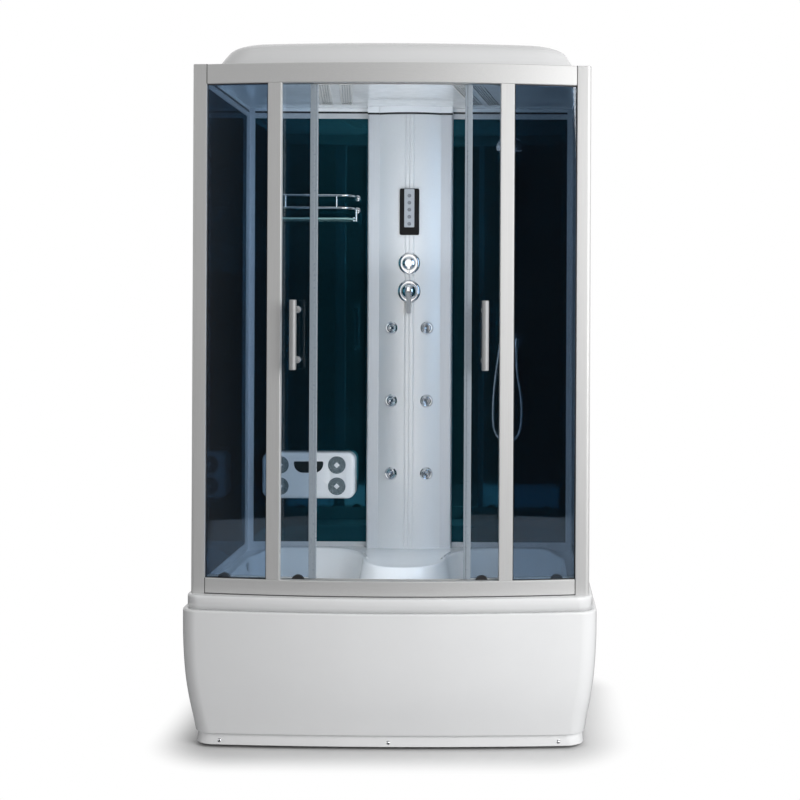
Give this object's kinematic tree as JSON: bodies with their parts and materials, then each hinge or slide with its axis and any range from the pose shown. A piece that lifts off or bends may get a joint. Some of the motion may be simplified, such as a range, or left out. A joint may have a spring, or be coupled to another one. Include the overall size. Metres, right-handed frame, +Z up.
{
  "type": "steam shower cabin",
  "caption": "Bath tub with a glazed steam shower cabin above it: bowed front with sliding doors, control column with jets, hand shower, shelf, massage panel and dome roof.",
  "frame": {"origin": "middle of the footprint, on the floor", "axes": "+Z up; +X to the right and +Y to the back for someone facing the doors"},
  "size_m": [1.3, 0.8499, 2.25],
  "materials": {
    "acrylic_white": "glossy sanitary acrylic",
    "satin_aluminium": "satin anodised",
    "front_glass": "blue-grey tinted tempered glass",
    "wall_glass": "dark back-coated glass",
    "door_edge_grey": "satin grey profile with a magnet strip",
    "chrome": "polished chrome plate",
    "hose_metal": "polished metal spiral",
    "brass_chromed": "brass body with chromed plates",
    "column_silver": "glossy silver lacquer",
    "panel_black": "glossy black",
    "key_silver": "glossy light silver",
    "carrier_black": "black nylon",
    "wheel_white": "white nylon",
    "frame_steel": "galvanised",
    "waste_grey": "grey moulded plastic",
    "shelf_clear": "clear glass with green edges",
    "massage_white": "glossy white moulding",
    "massage_grey": "grey-green speckled",
    "vent_grey": "grey slotted moulding"
  },
  "bodies": {
    "cabin": {"bath_tub": "acrylic_white", "front_skirt": "acrylic_white", "roof_dome": "acrylic_white", "ceiling_panel": "acrylic_white", "post_left": "satin_aluminium", "post_right": "satin_aluminium", "top_rail": "satin_aluminium", "bottom_rail": "satin_aluminium", "mullions": "satin_aluminium", "wall_profiles": "satin_aluminium", "fixed_glass_left": "front_glass", "fixed_glass_right": "front_glass", "side_glass_left": "wall_glass", "side_glass_right": "wall_glass", "back_glass_left": "wall_glass", "back_glass_right": "wall_glass", "skirt_screws": "chrome", "jet_housings": "chrome", "shelf_rack": "chrome", "riser_bar": "chrome", "wall_outlet": "chrome", "shower_hose": "hose_metal", "mixer_valve": "brass_chromed", "control_column": "column_silver", "control_panel": "panel_black", "tub_frame": "frame_steel", "waste_and_overflow": "waste_grey", "shelf_glass": "shelf_clear", "massage_panel": "massage_white", "massage_discs": "massage_grey", "ceiling_vents": "vent_grey"},
    "door_left": {"door_glass_left": "front_glass", "door_edge_left": "door_edge_grey", "door_handle_left": "chrome", "door_carriers_left": "carrier_black"},
    "door_right": {"door_glass_right": "front_glass", "door_edge_right": "door_edge_grey", "door_handle_right": "chrome", "door_carriers_right": "carrier_black"},
    "shower_slider": {"shower_slider": "chrome"},
    "shower_holder": {"shower_holder": "chrome"},
    "hand_shower": {"hand_shower": "chrome"},
    "diverter_knob": {"diverter_knob": "chrome"},
    "mixer_cap": {"mixer_cap": "chrome"},
    "mixer_lever": {"mixer_lever": "chrome"},
    "wheel_left_inner": {"wheel_left_inner": "wheel_white"},
    "wheel_left_outer": {"wheel_left_outer": "wheel_white"},
    "wheel_right_inner": {"wheel_right_inner": "wheel_white"},
    "wheel_right_outer": {"wheel_right_outer": "wheel_white"},
    "key_1": {"key_1": "key_silver"},
    "key_2": {"key_2": "key_silver"},
    "key_3": {"key_3": "key_silver"},
    "key_4": {"key_4": "key_silver"},
    "key_5": {"key_5": "key_silver"},
    "jet_nozzle_1": {"jet_nozzle_1": "chrome"},
    "jet_nozzle_2": {"jet_nozzle_2": "chrome"},
    "jet_nozzle_3": {"jet_nozzle_3": "chrome"},
    "jet_nozzle_4": {"jet_nozzle_4": "chrome"},
    "jet_nozzle_5": {"jet_nozzle_5": "chrome"},
    "jet_nozzle_6": {"jet_nozzle_6": "chrome"}
  },
  "joints": [
    {"name": "door_left_slide", "type": "hinge", "parent": "cabin", "child": "door_left", "pos_m": [0, 3.32478, 0.5], "axis": [0, 0, 1], "range_deg": [0, 3.58]},
    {"name": "wheel_left_inner_roll", "type": "hinge", "parent": "door_left", "child": "wheel_left_inner", "pos_m": [-0.28777, -0.34022, 0.5183], "axis": [0.0783, 0.9969, 0], "range_deg": [0, 1200]},
    {"name": "wheel_left_outer_roll", "type": "hinge", "parent": "door_left", "child": "wheel_left_outer", "pos_m": [-0.52394, -0.31397, 0.5183], "axis": [0.1425, 0.9898, 0], "range_deg": [0, 1200]},
    {"name": "door_right_slide", "type": "hinge", "parent": "cabin", "child": "door_right", "pos_m": [0, 3.32478, 0.5], "axis": [0, 0, 1], "range_deg": [-3.58, 0]},
    {"name": "wheel_right_inner_roll", "type": "hinge", "parent": "door_right", "child": "wheel_right_inner", "pos_m": [0.28777, -0.34022, 0.5183], "axis": [-0.0783, 0.9969, 0], "range_deg": [-1200, 0]},
    {"name": "wheel_right_outer_roll", "type": "hinge", "parent": "door_right", "child": "wheel_right_outer", "pos_m": [0.52394, -0.31397, 0.5183], "axis": [-0.1425, 0.9898, 0], "range_deg": [-1200, 0]},
    {"name": "key_1_press", "type": "slide", "parent": "cabin", "child": "key_1", "axis": [0, 1, 0], "range_m": [0, 0.001], "stiffness_N_per_m": 800, "springref_m": -0.001},
    {"name": "key_2_press", "type": "slide", "parent": "cabin", "child": "key_2", "axis": [0, 1, 0], "range_m": [0, 0.001], "stiffness_N_per_m": 800, "springref_m": -0.001},
    {"name": "key_3_press", "type": "slide", "parent": "cabin", "child": "key_3", "axis": [0, 1, 0], "range_m": [0, 0.001], "stiffness_N_per_m": 800, "springref_m": -0.001},
    {"name": "key_4_press", "type": "slide", "parent": "cabin", "child": "key_4", "axis": [0, 1, 0], "range_m": [0, 0.001], "stiffness_N_per_m": 800, "springref_m": -0.001},
    {"name": "key_5_press", "type": "slide", "parent": "cabin", "child": "key_5", "axis": [0, 1, 0], "range_m": [0, 0.001], "stiffness_N_per_m": 800, "springref_m": -0.001},
    {"name": "diverter_turn", "type": "hinge", "parent": "cabin", "child": "diverter_knob", "pos_m": [0, 0.329, 1.543], "axis": [0, -1, 0], "range_deg": [-90, 90]},
    {"name": "mixer_turn", "type": "hinge", "parent": "cabin", "child": "mixer_cap", "pos_m": [0, 0.329, 1.441], "axis": [0, -1, 0], "range_deg": [-45, 45]},
    {"name": "mixer_lift", "type": "hinge", "parent": "mixer_cap", "child": "mixer_lever", "pos_m": [0, 0.309, 1.441], "axis": [-1, 0, 0], "range_deg": [0, 25]},
    {"name": "jet_1_swivel", "type": "hinge", "parent": "cabin", "child": "jet_nozzle_1", "pos_m": [-0.06519, 0.34139, 1.307], "axis": [0, 0, 1], "range_deg": [-15, 15]},
    {"name": "jet_2_swivel", "type": "hinge", "parent": "cabin", "child": "jet_nozzle_2", "pos_m": [0.06519, 0.34139, 1.307], "axis": [0, 0, 1], "range_deg": [-15, 15]},
    {"name": "jet_3_swivel", "type": "hinge", "parent": "cabin", "child": "jet_nozzle_3", "pos_m": [-0.06519, 0.34139, 1.04], "axis": [0, 0, 1], "range_deg": [-15, 15]},
    {"name": "jet_4_swivel", "type": "hinge", "parent": "cabin", "child": "jet_nozzle_4", "pos_m": [0.06519, 0.34139, 1.04], "axis": [0, 0, 1], "range_deg": [-15, 15]},
    {"name": "jet_5_swivel", "type": "hinge", "parent": "cabin", "child": "jet_nozzle_5", "pos_m": [-0.06519, 0.34139, 0.773], "axis": [0, 0, 1], "range_deg": [-15, 15]},
    {"name": "jet_6_swivel", "type": "hinge", "parent": "cabin", "child": "jet_nozzle_6", "pos_m": [0.06519, 0.34139, 0.773], "axis": [0, 0, 1], "range_deg": [-15, 15]},
    {"name": "holder_slide", "type": "slide", "parent": "cabin", "child": "shower_slider", "axis": [0, 0, 1], "range_m": [-0.42, 0.02], "deforming": ["shower_hose"]},
    {"name": "holder_tilt", "type": "hinge", "parent": "shower_slider", "child": "shower_holder", "pos_m": [0.365, 0.316, 1.8], "axis": [1, 0, 0], "range_deg": [-20, 15]},
    {"name": "hand_shower_lift", "type": "slide", "parent": "shower_holder", "child": "hand_shower", "axis": [0, -0.2588, 0.9659], "range_m": [0, 0.08]}
  ],
  "couplings": [
    {"joint": "wheel_left_inner_roll", "follows": "door_left_slide", "ratio": 334.21},
    {"joint": "wheel_left_outer_roll", "follows": "door_left_slide", "ratio": 334.21},
    {"joint": "wheel_right_inner_roll", "follows": "door_right_slide", "ratio": 334.21},
    {"joint": "wheel_right_outer_roll", "follows": "door_right_slide", "ratio": 334.21}
  ]
}
